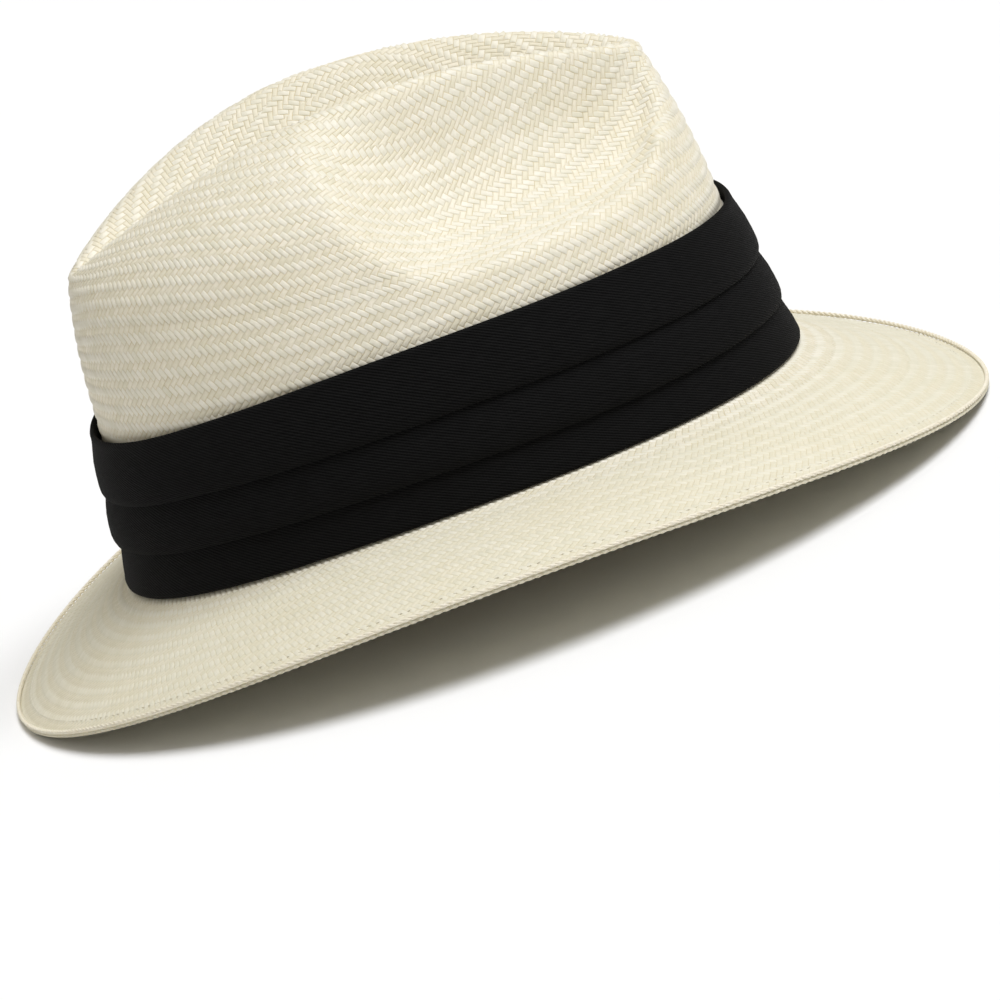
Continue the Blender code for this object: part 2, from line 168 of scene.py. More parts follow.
def shell_normal(phi, t):
    """Unit normal of the straw, towards the outside of the hat."""
    step = 1e-3
    around = shell_point(phi + step, t) - shell_point(phi - step, t)
    upward = shell_point(phi, np.minimum(t + step, len(RINGS) - 1)) - shell_point(phi, t - step)
    normal = np.cross(around, upward)
    return normal / np.maximum(np.linalg.norm(normal, axis=-1, keepdims=True), 1e-9)


WALL_T = np.linspace(BREAK, BREAK + 5, 201)
WALL_UP = np.concatenate([[0.0], np.cumsum(np.linalg.norm(
    np.diff(shell_point(np.full(201, math.pi / 2), WALL_T), axis=0), axis=1))])


def wall_point(phi, height, distance):
    """Point beside the crown wall: this far above the break, then level outwards from the straw.

    Below the break it goes straight down.
    """
    phi, height, distance = np.broadcast_arrays(phi, height, distance)
    t = np.interp(height, WALL_UP, WALL_T)
    level = shell_normal(phi, t) * [1.0, 1.0, 0.0]
    level /= np.linalg.norm(level, axis=-1, keepdims=True)
    below = np.minimum(height, 0.0)[..., None] * [0.0, 0.0, 1.0]
    return shell_point(phi, t) + level * distance[..., None] + below


# ---- mesh helpers -----------------------------------------------------------------------------
def make_object(name, vertices, faces, material, nodes=()):
    """A smooth piece in metres that rides on the hat and stands for the given nodes."""
    mesh = bpy.data.meshes.new(name)
    mesh.from_pydata((np.asarray(vertices) * MM).tolist(), [], faces)
    mesh.polygons.foreach_set("use_smooth", [True] * len(mesh.polygons))
    mesh.materials.append(material)
    mesh.update()
    piece = bpy.data.objects.new(name, mesh)
    bpy.context.scene.collection.objects.link(piece)
    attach(piece, "root")
    if nodes:
        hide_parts(*nodes)
    return piece


def grid_faces(rows, columns, close_rows, close_columns):
    """Quads over a grid of rows x columns vertices, joined up in either direction if asked."""
    r = np.arange(rows if close_rows else rows - 1)[:, None]
    c = np.arange(columns if close_columns else columns - 1)[None, :]
    r2, c2 = (r + 1) % rows, (c + 1) % columns
    quads = [r * columns + c, r * columns + c2, r2 * columns + c2, r2 * columns + c]
    return np.stack([np.broadcast_to(q, (r.size, c.size)) for q in quads], axis=-1).reshape(-1, 4)


def outward(piece):
    """Turns the piece's faces to the outside."""
    editable = bmesh.new()
    editable.from_mesh(piece.data)
    bmesh.ops.recalc_face_normals(editable, faces=editable.faces)
    editable.to_mesh(piece.data)
    editable.free()


def set_uv(piece, corner_uv):
    """Lays the given coordinates, one pair for each face corner, on the piece as map 'weave'."""
    layer = piece.data.uv_layers.new(name="weave")
    layer.data.foreach_set("uv", np.asarray(corner_uv, dtype=np.float32).ravel())


def sweep(name, sections, material, nodes=(), closed=True):
    """Solid swept through sections of shape (stations, corners, 3), with a map in millimetres.

    An open sweep gets a cap at each end.
    """
    stations, corners = sections.shape[:2]
    quads = grid_faces(stations, corners, closed, True)
    faces = quads.tolist()
    if not closed:
        faces.append(list(range(corners)))
        faces.append([(stations - 1) * corners + c for c in range(corners)])
    piece = make_object(name, sections.reshape(-1, 3), faces, material, nodes)
    run = np.linalg.norm(np.diff(sections, axis=0, append=sections[:1]), axis=-1).mean(axis=1)
    lap = np.linalg.norm(np.roll(sections, -1, axis=1) - sections, axis=-1).mean(axis=0)
    along, across = np.concatenate([[0], np.cumsum(run)]), np.concatenate([[0], np.cumsum(lap)])
    uv = np.zeros((len(piece.data.loops), 2))
    station, corner = quads[:, 0] // corners, quads[:, 0] % corners
    for k, (ds, dc) in enumerate(((0, 0), (0, 1), (1, 1), (1, 0))):
        uv[k:4 * len(quads):4, 0] = along[station + ds]
        uv[k:4 * len(quads):4, 1] = across[corner + dc]
    set_uv(piece, uv)
    outward(piece)
    return piece


def tube_sections(path, radius, closed, sides):
    """Round sections along a path of points, for sweep()."""
    ahead = np.roll(path, -1, axis=0) - np.roll(path, 1, axis=0)
    if not closed:
        ahead[0], ahead[-1] = path[1] - path[0], path[-1] - path[-2]
    ahead /= np.linalg.norm(ahead, axis=1, keepdims=True)
    side = np.cross(ahead, [0.0, 0.0, 1.0])
    side /= np.linalg.norm(side, axis=1, keepdims=True)
    up = np.cross(side, ahead)
    turn = np.linspace(0, 2 * math.pi, sides, endpoint=False)
    rim = np.cos(turn)[None, :, None] * side[:, None] + np.sin(turn)[None, :, None] * up[:, None]
    return path[:, None] + np.asarray(radius).reshape(-1, 1, 1) * rim


# ---- materials --------------------------------------------------------------------------------
class Graph:
    """Short names for the shader nodes that the materials below use."""

    def __init__(self, name):
        self.material = bpy.data.materials.new(name)
        self.material.use_nodes = True
        self.tree = self.material.node_tree
        self.shader = self.tree.nodes["Principled BSDF"]

    def node(self, kind, inputs=(), **settings):
        made = self.tree.nodes.new(kind)
        for key, value in settings.items():
            setattr(made, key, value)
        for key, value in dict(inputs).items():
            if hasattr(value, "is_output"):
                self.tree.links.new(value, made.inputs[key])
            else:
                made.inputs[key].default_value = value
        return made

    def math(self, operation, a, b=0.0, c=0.0):
        return self.node("ShaderNodeMath", {0: a, 1: b, 2: c}, operation=operation).outputs[0]

    def blend(self, factor, a, b):
        """Number a where factor is 0 and b where it is 1."""
        made = self.node("ShaderNodeMix", {0: factor, 2: a, 3: b}, data_type="FLOAT")
        return made.outputs[0]

    def tint(self, factor, a, b, blend_type="MIX"):
        """Colour a where factor is 0 and b where it is 1."""
        made = self.node("ShaderNodeMix", {0: factor, 6: a, 7: b}, data_type="RGBA",
                         blend_type=blend_type)
        return made.outputs[2]

    def remap(self, value, low, high, new_low=0.0, new_high=1.0):
        inputs = {"Value": value, "From Min": low, "From Max": high,
                  "To Min": new_low, "To Max": new_high}
        return self.node("ShaderNodeMapRange", inputs).outputs[0]

    def noise(self, vector, scale, detail=2.0, roughness=0.5):
        inputs = {"Vector": vector, "Scale": scale, "Detail": detail, "Roughness": roughness}
        return self.node("ShaderNodeTexNoise", inputs).outputs[0]

    def combine(self, x, y, z=0.0):
        return self.node("ShaderNodeCombineXYZ", {0: x, 1: y, 2: z}).outputs[0]

    def weave_map(self):
        """The two coordinates of the map called 'weave'."""
        uv = self.node("ShaderNodeUVMap", uv_map="weave").outputs[0]
        split = self.node("ShaderNodeSeparateXYZ", {0: uv})
        return split.outputs[0], split.outputs[1]

    def position(self):
        return self.node("ShaderNodeTexCoord").outputs["Object"]

    def bump(self, height, distance, strength=1.0, normal=None):
        inputs = {"Height": height, "Distance": distance, "Strength": strength}
        if normal is not None:
            inputs["Normal"] = normal
        return self.node("ShaderNodeBump", inputs).outputs[0]

    def set(self, **sockets):
        for name, value in sockets.items():
            key = name.replace("_", " ")
            if hasattr(value, "is_output"):
                self.tree.links.new(value, self.shader.inputs[key])
            else:
                self.shader.inputs[key].default_value = value
        return self.material


def straw_material(name, light, painted_shade_and_blotch_tan, tone):
    """Flat straws laid over two and under two, each with its own tone and fine grain. The tan that
    fills the gaps at their edges and ends, and that tints the straws of the second family, is
    painted shade; the same tan also colours the straw's uneven patches.
    """
    g = Graph(name)
    a, b = g.weave_map()
    i, fa = g.math("FLOOR", a), g.math("FRACT", a)
    j, fb = g.math("FLOOR", b), g.math("FRACT", b)
    order = g.math("FLOORED_MODULO", g.math("SUBTRACT", i, j), 4.0)
    first = g.math("LESS_THAN", order, 1.5)
    second_cell = g.math("GREATER_THAN", g.math("ABSOLUTE", g.math("SUBTRACT", order, 1.5)), 1.0)
    across = g.blend(first, fb, fa)
    along = g.math("MULTIPLY", g.math("ADD", second_cell, g.blend(first, fa, fb)), 0.5)
    edge = g.math("ABSOLUTE", g.math("MULTIPLY_ADD", across, 2.0, -1.0))
    end = g.math("ABSOLUTE", g.math("MULTIPLY_ADD", along, 2.0, -1.0))
    width_fall = g.math("SUBTRACT", 1.0, g.math("POWER", edge, 7.0))
    end_fall = g.math("SUBTRACT", 1.0, g.math("POWER", end, 12.0))
    straw = g.math("MULTIPLY", width_fall, end_fall)
    belly = g.math("MULTIPLY", g.math("MULTIPLY_ADD", g.math("MULTIPLY", edge, edge), -0.45, 1.0),
                   g.math("MULTIPLY_ADD", g.math("MULTIPLY", end, end), -0.30, 1.0))

    run = g.blend(first, a, b)
    number = g.blend(first, g.math("MULTIPLY_ADD", j, 3.17, 0.4), g.math("MULTIPLY", i, 2.31))
    strand_tone = g.node("ShaderNodeTexWhiteNoise", {"W": number},
                         noise_dimensions="1D").outputs["Value"]
    cell = g.combine(i, j, 0.0)
    float_tone = g.node("ShaderNodeTexWhiteNoise", {"Vector": cell}).outputs["Value"]
    grain = g.noise(g.combine(g.math("MULTIPLY", across, 9.0), g.math("MULTIPLY", run, 0.9),
                              number), 1.0, 3.0, 0.6)
    blotch = g.noise(g.position(), 34.0, 2.0)
    place = g.node("ShaderNodeSeparateXYZ", {0: g.position()}).outputs
    out_x, out_y = (g.math("DIVIDE", place[n], half) for n, half in enumerate(BRIM_START))
    from_middle = g.math("SQRT", g.math("ADD", g.math("MULTIPLY", out_x, out_x),
                                        g.math("MULTIPLY", out_y, out_y)))
    quiet = g.remap(from_middle, 1.0, 1.12, 1.0, BRIM_CONTRAST)

    # Painted shade: each straw's edges and ends, and the gaps between straws, fade to the tan
    # colour, and noise varies how deep this painted shade is.
    gap = g.remap(straw, 0.0, 0.7, 1.0, 0.0)
    open_gap = g.remap(g.noise(g.position(), 210.0, 2.0), 0.35, 0.7, 0.3, 1.0)
    open_gap = g.math("MULTIPLY", open_gap, quiet)
    bright = g.math("SUBTRACT", 1.0, g.math("MULTIPLY", gap, open_gap))
    base = g.tint(bright, (*painted_shade_and_blotch_tan, 1.0), (*light, 1.0))
    shade = g.math("MULTIPLY_ADD", strand_tone, 0.08, -0.055)
    shade = g.math("ADD", shade, g.math("MULTIPLY_ADD", float_tone, 0.05, -0.035))
    shade = g.math("MULTIPLY_ADD", shade, quiet, 0.955)
    shade = g.math("MULTIPLY", shade, g.remap(grain, 0.25, 0.75, 0.96, 1.03))
    shade = g.math("MULTIPLY", shade, g.remap(quiet, BRIM_CONTRAST, 1.0, tone * BRIM_TONE, tone))
    dark = g.combine(shade, shade, g.math("POWER", shade, 1.5))
    base = g.tint(1.0, base, dark, "MULTIPLY")
    # Painted shade: every straw of the second family is tinted towards the tan.
    second_family_painted_shade = g.math("MULTIPLY", g.math("MULTIPLY_ADD", first, -0.15, 0.15), quiet)
    base = g.tint(second_family_painted_shade, base, (*painted_shade_and_blotch_tan, 1.0))
    base = g.tint(g.remap(blotch, 0.45, 0.8, 0.0, 0.10), base, (*painted_shade_and_blotch_tan, 1.0))

    rough = g.remap(grain, 0.2, 0.8, 0.42, 0.60)
    relief = g.math("MULTIPLY_ADD", grain, 0.08, g.math("MULTIPLY", straw, belly))
    normal = g.bump(relief, 0.00022, g.math("MULTIPLY", quiet, 0.9))
    return g.set(Base_Color=base, Roughness=rough, Normal=normal, Specular_IOR_Level=0.42)


RIB_ANGLE = math.radians(26.0)   # how far the ribs of the twill lean from the band's length


def cloth_material(name, colour, rib_highlight_and_tone, rib_step, sheen, lint):
    """Twill: fine slanted ribs over a cross thread, with a little lint, and a painted highlight on
    the raised ribs.
    """
    g = Graph(name)
    u, v = g.weave_map()
    slope = g.math("ADD", g.math("MULTIPLY", u, math.sin(RIB_ANGLE)),
                   g.math("MULTIPLY", v, math.cos(RIB_ANGLE)))
    rib = g.math("SINE", g.math("MULTIPLY", slope, 2 * math.pi / rib_step))
    thread = g.math("SINE", g.math("MULTIPLY", u, 2 * math.pi / rib_step))
    wander = g.noise(g.combine(g.math("MULTIPLY", u, 0.06), g.math("MULTIPLY", v, 0.5)), 3.0, 3.0)
    fuzz = g.noise(g.position(), 2600.0, 2.0)
    height = g.math("ADD", rib, g.math("MULTIPLY", thread, 0.2))
    height = g.math("ADD", height, g.math("MULTIPLY", fuzz, 0.8))
    # Painted highlight: the lighter colour follows the height of the ribs, cross thread and fuzz,
    # so the raised ribs are lighter than the hollows; a slow random wander in tone is mixed in.
    face = g.remap(g.math("ADD", height, g.math("MULTIPLY", wander, 2.0)), 0.2, 2.6)
    base = g.tint(face, (*colour, 1.0), (*rib_highlight_and_tone, 1.0))
    if lint:
        spots = g.node("ShaderNodeTexVoronoi", {"Vector": g.position(), "Scale": 62.0})
        rare = g.math("GREATER_THAN", g.node("ShaderNodeSeparateXYZ", {
            0: spots.outputs["Color"]}).outputs[0], 0.93)
        speck = g.math("MULTIPLY", rare, g.math("LESS_THAN", spots.outputs["Distance"], 0.020))
        base = g.tint(speck, base, (0.22, 0.21, 0.19, 1.0))
    rough = g.remap(fuzz, 0.3, 0.7, 0.72, 0.9)
    normal = g.bump(height, 0.00007, 0.7)
    return g.set(Base_Color=base, Roughness=rough, Normal=normal, Sheen_Weight=sheen,
                 Sheen_Roughness=0.45, Specular_IOR_Level=0.06)


def leather_material(name, colour, dark):
    """Smooth dressed leather: pores, soft creases and a slight polish."""
    g = Graph(name)
    where = g.position()
    pores = g.node("ShaderNodeTexVoronoi", {"Vector": where, "Scale": 1500.0}).outputs["Distance"]
    crease = g.noise(where, 260.0, 4.0, 0.6)
    patch = g.noise(where, 40.0, 2.0)
    base = g.tint(g.remap(patch, 0.3, 0.7), (*dark, 1.0), (*colour, 1.0))
    base = g.tint(g.remap(pores, 0.0, 0.35, 0.25, 0.0), base, (*dark, 1.0))
    normal = g.bump(g.math("ADD", g.math("MULTIPLY", pores, 0.5), crease), 0.00012, 0.5)
    rough = g.remap(crease, 0.3, 0.7, 0.38, 0.56)
    return g.set(Base_Color=base, Roughness=rough, Normal=normal)


def plain_material(name, colour, dark, scale, roughness, depth):
    """Thread, tape, reed and card: a fibrous surface at the given scale."""
    g = Graph(name)
    where = g.position()
    fibre = g.noise(where, scale, 4.0, 0.65)
    base = g.tint(g.remap(fibre, 0.3, 0.7), (*dark, 1.0), (*colour, 1.0))
    rough = g.remap(fibre, 0.3, 0.7, roughness - 0.08, roughness + 0.08)
    return g.set(Base_Color=base, Roughness=rough, Normal=g.bump(fibre, depth, 0.6))


# ---- woven straw ------------------------------------------------------------------------------
def woven_rows():
    """Dense closed curves, one each half row: points, normals, steps and share of the relief.

    On the brim the rows follow the rings, and behind the band they ease over to run level round
    the crown.  Further up they turn into circles round the tip, the middle of the crease, just
    as the straw is woven before a crown is pressed into shape.
    """
    phi = SEAM_ANGLE + np.linspace(0, 2 * math.pi, 960, endpoint=False)
    t = np.linspace(0.001, len(RINGS) - 1.001, 760)
    points = shell_point(phi[None, :], t[:, None])
    steps = np.linalg.norm(np.diff(points, axis=0), axis=-1)
    rise = np.concatenate([np.zeros((1, len(phi))), np.cumsum(steps, axis=0)])
    mean_rise = rise.mean(axis=1)
    foot, split = np.searchsorted(t, [CROWN_FOOT, BAND_TOP])
    level = points[split, :, 2] - points[split, :, 2].mean()
    ease = np.clip((np.arange(split + 1) - foot) / (split - foot), 0, 1)[:, None]
    climb = np.maximum(rise - rise[split], 0.0)
    left = climb[-1] - climb
    reach = points[-1, :, 0] - points[-1, :, 0].mean()
    from_tip = np.sqrt(reach ** 2 + 2 * reach * left * np.cos(phi) + left ** 2)
    share = np.clip(climb / TIP_BLEND, 0, 1)
    share = TIP_SHARE * share ** 2 * (3 - 2 * share)
    rise = (1 - share) * (level + climb) + share * (from_tip[split].mean() - from_tip)
    rise = np.maximum.accumulate(rise + mean_rise[split], axis=0)
    rise[:split + 1] = mean_rise[:split + 1, None] + ease * level
    rows = []
    count = int(rise[-1].max() / (STRAND_STEP / 2))
    for number in range(count):
        distance = STRAND_STEP / 2 * (number + ROW_SWING[number % 4])
        reached = rise[-1] >= distance
        place = np.array([np.interp(distance, rise[:, c], t) for c in np.flatnonzero(reached)])
        angle = phi[reached]
        if len(angle) < 12:
            break
        curve = shell_point(angle, place)
        lengths = np.linalg.norm(np.roll(curve, -1, axis=0) - curve, axis=1)
        pressed = np.interp(place.mean(), (BREAK, CROWN_FOOT), (BRIM_RELIEF, 1.0))
        rows.append((curve, shell_normal(angle, place), lengths, pressed))
        if lengths.sum() < LAST_ROW:
            break
    return rows


def row_counts(rows):
    """How many straws each half row has: the number changes only when the spacing has drifted."""
    counts = []
    current = round(rows[0][2].sum() / STRAND_STEP)
    for number, row in enumerate(rows):
        length = row[2].sum()
        if number % 2 == 0 and abs(length / (STRAND_STEP * current) - 1) > COUNT_DRIFT:
            current = max(round(length / STRAND_STEP), 4)
        counts.append(current)
    return counts


def spread_evenly(row, count):
    """Points and normals at equal distances along one closed curve."""
    curve, normals, lengths, _ = row
    along = np.concatenate([[0.0], np.cumsum(lengths)])
    wanted = np.linspace(0, along[-1], count, endpoint=False)
    closed = np.concatenate([curve, curve[:1]])
    closed_normals = np.concatenate([normals, normals[:1]])
    spots = np.stack([np.interp(wanted, along, closed[:, n]) for n in range(3)], axis=-1)
    facing = np.stack([np.interp(wanted, along, closed_normals[:, n]) for n in range(3)], axis=-1)
    return spots, facing / np.linalg.norm(facing, axis=1, keepdims=True)


def zip_rows(lower, upper, lower_start, upper_start):
    """Triangles between two closed rows that have different numbers of vertices."""
    triangles = []
    p = q = 0
    while p < lower or q < upper:
        if q >= upper or (p < lower and (p + 1) / lower <= (q + 1) / upper):
            triangles.append((p, p + 1, q, 0))
            p += 1
        else:
            triangles.append((p, q + 1, q, 1))
            q += 1
    faces, shares = [], []
    for one, two, three, kind in triangles:
        if kind == 0:
            faces.append((lower_start + one % lower, lower_start + two % lower,
                          upper_start + three % upper))
            shares.append(((one / lower, 0), (two / lower, 0), (three / upper, 1)))
        else:
            faces.append((lower_start + one % lower, upper_start + two % upper,
                          upper_start + three % upper))
            shares.append(((one / lower, 0), (two / upper, 1), (three / upper, 1)))
    return faces, shares


WOVEN_ROWS = woven_rows()


def weave_sheet(name, material, offset, side, relief, nodes):
    """One face of the straw as a real weave: a vertex on every crest and in every gap.

    The straws lie at 45 degrees to the rows.  Lattice coordinates A and B count them, so the
    material can draw each one from the map that is laid on here.
    """
    rows = len(WOVEN_ROWS) - 1
    counts = row_counts(WOVEN_ROWS)
    starts = np.concatenate([[0], np.cumsum([2 * n for n in counts])])
    vertices = []
    for row, count in enumerate(counts):
        spots, facing = spread_evenly(WOVEN_ROWS[row], 2 * count)
        crest = np.where((np.arange(2 * count) + row) % 2 == 1, ROW_CREST[row % 4], -1.0)
        height = relief * WOVEN_ROWS[row][3] * crest
        vertices.append(spots + facing * (offset + side * height)[:, None])
    vertices = np.concatenate(vertices)

    faces, corners = [], []
    for row in range(rows):
        low, high = counts[row], counts[row + 1]
        if low != high:
            new_faces, shares = zip_rows(2 * low, 2 * high, starts[row], starts[row + 1])
            faces += new_faces
            for share in shares:
                for fraction, up in share:
                    c, r = fraction * low, (row + up) / 2
                    corners.append((c + r, c - r))
            continue
        k = np.arange(2 * low)
        k2 = (k + 1) % (2 * low)
        sw, se = starts[row] + k, starts[row] + k2
        nw, ne = starts[row + 1] + k, starts[row + 1] + k2
        direct = (k + row) % 2 == 1
        c_crest, r_crest = np.where(direct, k, k + 1) / 2, row / 2
        order = (np.floor(c_crest + r_crest) - np.floor(c_crest - r_crest)) % 4
        same_straw = np.where(direct, order == 2, order == 0)
        rising = direct == same_straw
        for index in range(2 * low):
            x = index / 2
            y = row / 2
            south_west = (x + y, x - y)
            south_east = (x + 0.5 + y, x + 0.5 - y)
            north_west = (x + y + 0.5, x - y - 0.5)
            north_east = (x + y + 1.0, x - y)
            if rising[index]:
                faces.append((sw[index], se[index], ne[index]))
                faces.append((sw[index], ne[index], nw[index]))
                corners += [south_west, south_east, north_east]
                corners += [south_west, north_east, north_west]
            else:
                faces.append((sw[index], se[index], nw[index]))
                faces.append((se[index], ne[index], nw[index]))
                corners += [south_west, south_east, north_west]
                corners += [south_east, north_east, north_west]
    last, around = starts[rows], 2 * counts[rows]
    middle = len(vertices)
    vertices = np.concatenate([vertices, vertices[last:].mean(axis=0, keepdims=True)])
    for k in range(around):
        faces.append((last + k, last + (k + 1) % around, middle))
        corners += [(0.0, 0.0), (0.4, 0.0), (0.2, 0.3)]
    spots, _ = spread_evenly(WOVEN_ROWS[0], 2 * counts[0])
    outer = spots * EDGE_SPREAD
    for k in range(2 * counts[0]):
        k2 = (k + 1) % (2 * counts[0])
        rim, rim2 = middle + 1 + k, middle + 1 + k2
        faces += [(rim, rim2, k2), (rim, k2, k)]
        low, low2, high, high2 = ((x - r, x + r) for x, r in (
            (k / 2, 0.5), (k / 2 + 0.5, 0.5), (k / 2, 0.0), (k / 2 + 0.5, 0.0)))
        corners += [low, low2, high2, low, high2, high]
    vertices = np.concatenate([vertices, outer])
    if side < 0:
        faces = [face[::-1] for face in faces]
        flipped = []
        for n in range(0, len(corners), 3):
            flipped += corners[n:n + 3][::-1]
        corners = flipped
    faces = [tuple(int(x) for x in face) for face in faces]
    piece = make_object(name, vertices, faces, material, nodes)
    set_uv(piece, corners)
    return piece


# The rope of straw ends along the brim's edge.
ROPE_PLACE = 0.9          # ring position
ROPE_STRANDS = 3
ROPE_LAY = 6.6            # length of one full twist
ROPE_STEPS = 12           # stations in one twist
ROPE_TWIST_RADIUS = 0.34
ROPE_STRAND_RADIUS = 0.36
ROPE_SIDES = 6

# The stitches just in from the edge: along each one, its height over the straw and its radius.
STITCH_PLACE = EDGE + 0.22
STITCH_STEP = 3.2
STITCH_SPAN = (0.12, 0.82)
STITCH_RISE = (-0.20, 0.02, 0.07, 0.07, 0.02, -0.20)
STITCH_RADIUS = (0.07, 0.10, 0.11, 0.11, 0.10, 0.07)
STITCH_SIDES = 5


def edge_plait(material):
    """Straw ends plaited back along the edge: three strands twisted round each other."""
    turns = round(float(WOVEN_ROWS[0][2].sum()) / ROPE_LAY)
    phi = np.linspace(0, 2 * math.pi, turns * ROPE_STEPS, endpoint=False)
    t = np.full(phi.shape, ROPE_PLACE)
    normal = shell_normal(phi, t)
    centre = shell_point(phi, t) + normal * (STRAW_THICKNESS / 2 + CLEARANCE + 0.5)
    ahead = np.roll(centre, -1, axis=0) - np.roll(centre, 1, axis=0)
    ahead /= np.linalg.norm(ahead, axis=1, keepdims=True)
    other = np.cross(ahead, normal)
    vertices, faces = [], []
    for strand in range(ROPE_STRANDS):
        turn = turns * phi + 2 * math.pi * strand / ROPE_STRANDS
        swing = np.cos(turn)[:, None] * normal + np.sin(turn)[:, None] * other
        path = centre + ROPE_TWIST_RADIUS * swing
        sections = tube_sections(path, np.full(len(path), ROPE_STRAND_RADIUS), True, ROPE_SIDES)
        base = strand * len(path) * ROPE_SIDES
        faces += (grid_faces(len(path), ROPE_SIDES, True, True) + base).tolist()
        vertices.append(sections.reshape(-1, 3))
    piece = make_object("brim_edge_rope", np.concatenate(vertices), faces, material,
                        ("brim_edge_plait",))
    outward(piece)


def stitch_row(material):
    """Short stitches of thread just in from the brim's edge."""
    count = round(float(WOVEN_ROWS[0][2].sum()) / STITCH_STEP)
    stations = len(STITCH_RISE)
    size = stations * STITCH_SIDES
    one_stitch = grid_faces(stations, STITCH_SIDES, False, True)
    vertices, faces = [], []
    for number in range(count):
        phi = (number + np.linspace(*STITCH_SPAN, stations)) * 2 * math.pi / count
        t = np.full(phi.shape, STITCH_PLACE)
        rise = STRAW_THICKNESS / 2 + np.array(STITCH_RISE)
        path = shell_point(phi, t) + shell_normal(phi, t) * rise[:, None]
        sections = tube_sections(path, np.array(STITCH_RADIUS), False, STITCH_SIDES)
        vertices.append(sections.reshape(-1, 3))
        base = number * size
        faces += (one_stitch + base).tolist()
        faces.append([base + c for c in range(STITCH_SIDES)])
        faces.append([base + size - STITCH_SIDES + c for c in range(STITCH_SIDES)])
    piece = make_object("brim_stitches", np.concatenate(vertices), faces, material,
                        ("hem_stitch_thread",))
    outward(piece)


# ---- band -------------------------------------------------------------------------------------
SKIN = STRAW_THICKNESS / 2 + CLEARANCE
BACKING_THICKNESS = 0.5
BAND_INNER = SKIN + BACKING_THICKNESS + CLEARANCE
# The foot lies about a millimetre lower than the solid band's, down on the brim.
FOLD_LINES = (-0.35, 12.5, 28.0, BAND_HEIGHT)
FOOT_DROP = 0.5           # how much lower the band's foot sits at the front and back
CLOTH_THICKNESS = 0.4
# Height above a fold line and distance from the backing: how the cloth turns back under a fold,
# and how it turns in at the top.
TUCK = ((2.5, 0.9), (4.8, 0.5), (5.5, 0.8), (4.8, 1.15), (2.5, 1.5), (0.5, 2.0), (-0.3, 2.5))
TOP_HEM = ((-0.9, 1.9), (-0.1, 1.35), (-0.3, 0.75), (-1.6, 0.4), (-6.0, 0.35))


def wave(phi, seed, size, terms=(2, 3, 5, 8, 13)):
    """A smooth, repeatable wander round the hat, at most about the given size."""
    spread = np.random.default_rng(seed).uniform(0, 2 * math.pi, len(terms))
    total = sum(np.sin(n * phi + s) / n ** 0.6 for n, s in zip(terms, spread))
    return size * total / 1.9


def smooth_profile(points, steps):
    """Catmull-Rom curve through (stations, knots, 2), with the given steps between knots."""
    padded = np.concatenate([points[:, :1], points, points[:, -1:]], axis=1)
    out = []
    for n in range(points.shape[1] - 1):
        p0, p1, p2, p3 = (padded[:, n + m] for m in range(4))
        for s in np.linspace(0, 1, steps, endpoint=False):
            out.append(0.5 * (2 * p1 + (p2 - p0) * s + (2 * p0 - 5 * p1 + 4 * p2 - p3) * s ** 2
                              + (3 * p1 - p0 - 3 * p2 + p3) * s ** 3))
    out.append(points[:, -1])
    return np.stack(out, axis=1)


def strip_outline(path, thickness):
    """Closed outline of a strip of cloth that follows a path of (height, distance)."""
    ahead = np.gradient(path, axis=1)
    aside = np.stack([-ahead[..., 1], ahead[..., 0]], axis=-1)
    aside *= thickness / 2 / np.linalg.norm(aside, axis=-1, keepdims=True)
    return np.concatenate([path + aside, (path - aside)[:, ::-1]], axis=1)


def fold_path(phi):
    """The band's cloth from hem to hem: each face runs up under the next fold and turns back."""
    lines = [line + wave(phi, 10 + n, size)
             for n, (line, size) in enumerate(zip(FOLD_LINES, (0.08, 0.45, 0.5, 0.2)))]
    level = 0 * phi
    lines[0] -= FOOT_DROP * np.cos(phi) ** 2
    foot = lines[0]
    knots = [(foot + 5.4, level + 0.35), (foot + 1.9, level + 0.35), (foot + 0.3, level + 0.6),
             (foot - 0.15, level + 1.2)]
    for fold in range(3):
        low, high = lines[fold], lines[fold + 1]
        lift = 0.95 if fold else 0.0
        full = 1.0 + wave(phi, 20 + fold, 0.10, (3, 5, 9, 14, 22))
        knots += [(low + 0.3, level + lift + 1.95), (low + 2.4, lift + 2.4 * full),
                  (low + (high - low) * 0.5, lift + 2.2 * full),
                  (low + (high - low) * 0.85, lift / 2 + 1.55 * full)]
        if fold < 2:
            knots += [(high + h, level + d) for h, d in TUCK]
    knots += [(high + h, level + d) for h, d in TOP_HEM]
    return smooth_profile(np.stack([np.stack(pair, axis=-1) for pair in knots], axis=1), 2)


def pleated_band(material):
    """The cloth hatband: one strip laid in three folds that overlap like shingles."""
    phi = np.linspace(0, 2 * math.pi, 480, endpoint=False)
    outline = strip_outline(fold_path(phi), CLOTH_THICKNESS)
    sections = wall_point(phi[:, None], outline[..., 0], BAND_INNER + outline[..., 1])
    piece = sweep("hatband_pleats", sections, material, ("pleated_band",))


# Height and distance from the backing: the loop lies over the folds and turns in at both ends.
KEEPER_PATH = (
    (BAND_HEIGHT + 0.4, -0.6), (BAND_HEIGHT + 1.2, 0.5), (BAND_HEIGHT + 0.9, 1.9), (46.5, 2.75),
    (43.0, 3.4), (38.0, 4.2), (30.4, 4.5), (24.0, 4.25), (15.0, 4.45), (9.0, 3.85), (2.0, 3.5),
    (-0.3, 2.9), (-0.9, 1.8), (-0.6, 0.4),
)


